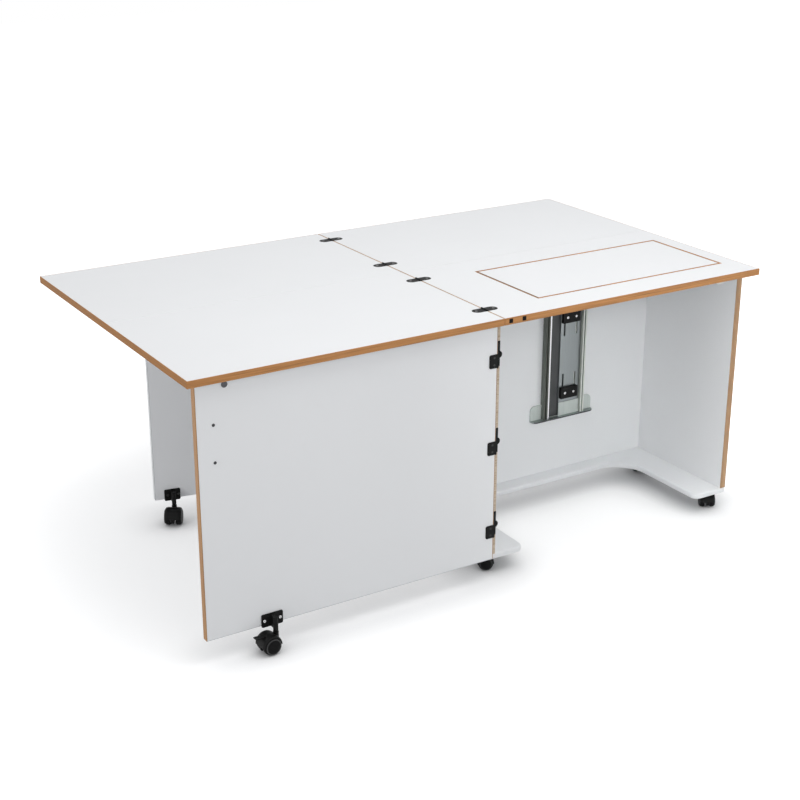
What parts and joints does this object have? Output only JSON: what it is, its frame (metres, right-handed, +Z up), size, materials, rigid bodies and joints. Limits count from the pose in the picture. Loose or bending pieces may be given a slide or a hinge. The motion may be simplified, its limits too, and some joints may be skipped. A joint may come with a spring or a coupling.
{
  "type": "folding sewing cutting table",
  "caption": "Cabinet on casters with a knee space and machine lift, whose four-part laminated top opens out over a swinging door and a folding rear gate.",
  "frame": {"origin": "on the floor, in X at the seam across the opened top, in Y half-way through the depth of the opened table with its front caster", "axes": "+Z up, +X to the cabinet's side of the top, +Y to the back"},
  "size_m": [1.776, 1.0263, 0.765],
  "materials": {
    "white_laminate": "satin melamine",
    "oak_edging": "satin",
    "grey_edging": "satin",
    "black_hinge": "black powder coat",
    "black_plastic": "moulded",
    "caster_steel": "zinc plated",
    "rail_paint": "grey paint",
    "lift_steel": "brushed",
    "bright_steel": "polished"
  },
  "bodies": {
    "cabinet": {"left_panel": "white_laminate", "right_panel": "white_laminate", "back_panel": "white_laminate", "side_panel_edging": "oak_edging", "base_board": "white_laminate", "main_top": "white_laminate", "main_top_edging": "oak_edging", "edge_plugs": "black_plastic", "magnetic_catch": "black_plastic", "link_hinges_main": "black_hinge", "drop_hinges_main": "black_hinge", "door_hinges_fixed": "black_hinge", "gate_hinges_cabinet": "black_hinge", "lift_rails": "rail_paint", "lift_plate": "lift_steel", "lift_rod": "bright_steel", "lift_blocks": "black_plastic", "lift_block_screws": "bright_steel", "lift_foot_bracket": "lift_steel", "cabinet_caster_mounts": "caster_steel"},
    "front_left_leaf": {"front_left_leaf": "white_laminate", "front_left_edging": "oak_edging", "link_hinges_front_left": "black_hinge"},
    "rear_right_leaf": {"rear_right_leaf": "white_laminate", "rear_right_edging": "oak_edging", "link_hinges_rear_right": "black_hinge", "drop_hinges_leaf": "black_hinge"},
    "rear_left_leaf": {"rear_left_leaf": "white_laminate", "rear_left_edging": "oak_edging", "link_hinges_rear_left": "black_hinge"},
    "door": {"door_panel": "white_laminate", "door_edging": "oak_edging", "door_hinges_moving": "black_hinge", "door_handle": "bright_steel", "handle_screws": "bright_steel", "strike_button": "bright_steel", "door_caster_bracket": "black_hinge"},
    "gate_inner": {"gate_inner_panel": "white_laminate", "gate_inner_hinges": "black_hinge"},
    "gate_outer": {"gate_outer_panel": "white_laminate", "gate_outer_edging": "grey_edging", "gate_outer_hinges": "black_hinge", "gate_caster_bracket": "black_hinge"},
    "lift_carriage": {"carriage_plate": "lift_steel", "carriage_sliders": "black_plastic", "lift_arms": "lift_steel", "lift_platform": "white_laminate", "platform_edging": "oak_edging"},
    "caster_front_left_fork": {"caster_front_left_hood": "black_plastic"},
    "caster_front_left_wheels": {"caster_front_left_wheels": "black_plastic"},
    "caster_front_right_fork": {"caster_front_right_hood": "black_plastic"},
    "caster_front_right_wheels": {"caster_front_right_wheels": "black_plastic"},
    "caster_rear_left_fork": {"caster_rear_left_hood": "black_plastic"},
    "caster_rear_left_wheels": {"caster_rear_left_wheels": "black_plastic"},
    "caster_rear_right_fork": {"caster_rear_right_hood": "black_plastic"},
    "caster_rear_right_wheels": {"caster_rear_right_wheels": "black_plastic"},
    "door_caster_fork": {"door_caster_hood": "black_plastic"},
    "door_caster_wheels": {"door_caster_wheels": "black_plastic"},
    "gate_caster_fork": {"gate_caster_hood": "black_plastic"},
    "gate_caster_wheels": {"gate_caster_wheels": "black_plastic"}
  },
  "joints": [
    {"name": "front_leaf_fold", "type": "hinge", "parent": "cabinet", "child": "front_left_leaf", "pos_m": [0, -0.2345, 0.7625], "axis": [0, 1, 0], "range_deg": [0, 180]},
    {"name": "rear_leaves_drop", "type": "hinge", "parent": "cabinet", "child": "rear_right_leaf", "pos_m": [0.444, 0.0185, 0.742], "axis": [-1, 0, 0], "range_deg": [0, 90]},
    {"name": "rear_leaf_fold", "type": "hinge", "parent": "rear_right_leaf", "child": "rear_left_leaf", "pos_m": [0, 0.263, 0.7625], "axis": [0, 1, 0], "range_deg": [0, 180]},
    {"name": "door_swing", "type": "hinge", "parent": "cabinet", "child": "door", "pos_m": [0, -0.4555, 0.4], "axis": [0, 0, 1], "range_deg": [0, 180]},
    {"name": "gate_swing", "type": "hinge", "parent": "cabinet", "child": "gate_inner", "pos_m": [0.006, -0.028, 0.4], "axis": [0, 0, -1], "range_deg": [0, 115.8]},
    {"name": "gate_fold", "type": "hinge", "parent": "gate_inner", "child": "gate_outer", "pos_m": [-0.14894, 0.29251, 0.4], "axis": [0, 0, -1], "range_deg": [0, 54]},
    {"name": "lift_slide", "type": "slide", "parent": "cabinet", "child": "lift_carriage", "axis": [0, 0, -1], "range_m": [0, 0.29]},
    {"name": "caster_front_left_swivel", "type": "hinge", "parent": "cabinet", "child": "caster_front_left_fork", "pos_m": [0.033, -0.398, 0.021], "axis": [0, 0, 1], "continuous": true},
    {"name": "caster_front_left_roll", "type": "hinge", "parent": "caster_front_left_fork", "child": "caster_front_left_wheels", "pos_m": [0.02152, -0.3919, 0.021], "axis": [-0.4695, -0.8829, 0], "continuous": true},
    {"name": "caster_front_right_swivel", "type": "hinge", "parent": "cabinet", "child": "caster_front_right_fork", "pos_m": [0.8355, -0.398, 0.021], "axis": [0, 0, 1], "continuous": true},
    {"name": "caster_front_right_roll", "type": "hinge", "parent": "caster_front_right_fork", "child": "caster_front_right_wheels", "pos_m": [0.82861, -0.40903, 0.021], "axis": [0.848, -0.5299, 0], "continuous": true},
    {"name": "caster_rear_left_swivel", "type": "hinge", "parent": "cabinet", "child": "caster_rear_left_fork", "pos_m": [0.033, -0.0855, 0.021], "axis": [0, 0, 1], "continuous": true},
    {"name": "caster_rear_left_roll", "type": "hinge", "parent": "caster_rear_left_fork", "child": "caster_rear_left_wheels", "pos_m": [0.02078, -0.08995, 0.021], "axis": [0.342, -0.9397, 0], "continuous": true},
    {"name": "caster_rear_right_swivel", "type": "hinge", "parent": "cabinet", "child": "caster_rear_right_fork", "pos_m": [0.8355, -0.0855, 0.021], "axis": [0, 0, 1], "continuous": true},
    {"name": "caster_rear_right_roll", "type": "hinge", "parent": "caster_rear_right_fork", "child": "caster_rear_right_wheels", "pos_m": [0.82861, -0.09652, 0.021], "axis": [0.848, -0.5299, 0], "continuous": true},
    {"name": "door_caster_swivel", "type": "hinge", "parent": "door", "child": "door_caster_fork", "pos_m": [-0.682, -0.485, 0.025], "axis": [0, 0, 1], "continuous": true},
    {"name": "door_caster_roll", "type": "hinge", "parent": "door_caster_fork", "child": "door_caster_wheels", "pos_m": [-0.70295, -0.48646, 0.025], "axis": [0.0698, -0.9976, 0], "continuous": true},
    {"name": "gate_caster_swivel", "type": "hinge", "parent": "gate_outer", "child": "gate_caster_fork", "pos_m": [-0.59509, 0.34281, 0.025], "axis": [0, 0, 1], "continuous": true},
    {"name": "gate_caster_roll", "type": "hinge", "parent": "gate_caster_fork", "child": "gate_caster_wheels", "pos_m": [-0.60628, 0.32504, 0.025], "axis": [0.8462, -0.5329, 0], "continuous": true}
  ],
  "couplings": [
    {"joint": "rear_leaf_fold", "follows": "rear_leaves_drop", "ratio": 2}
  ]
}
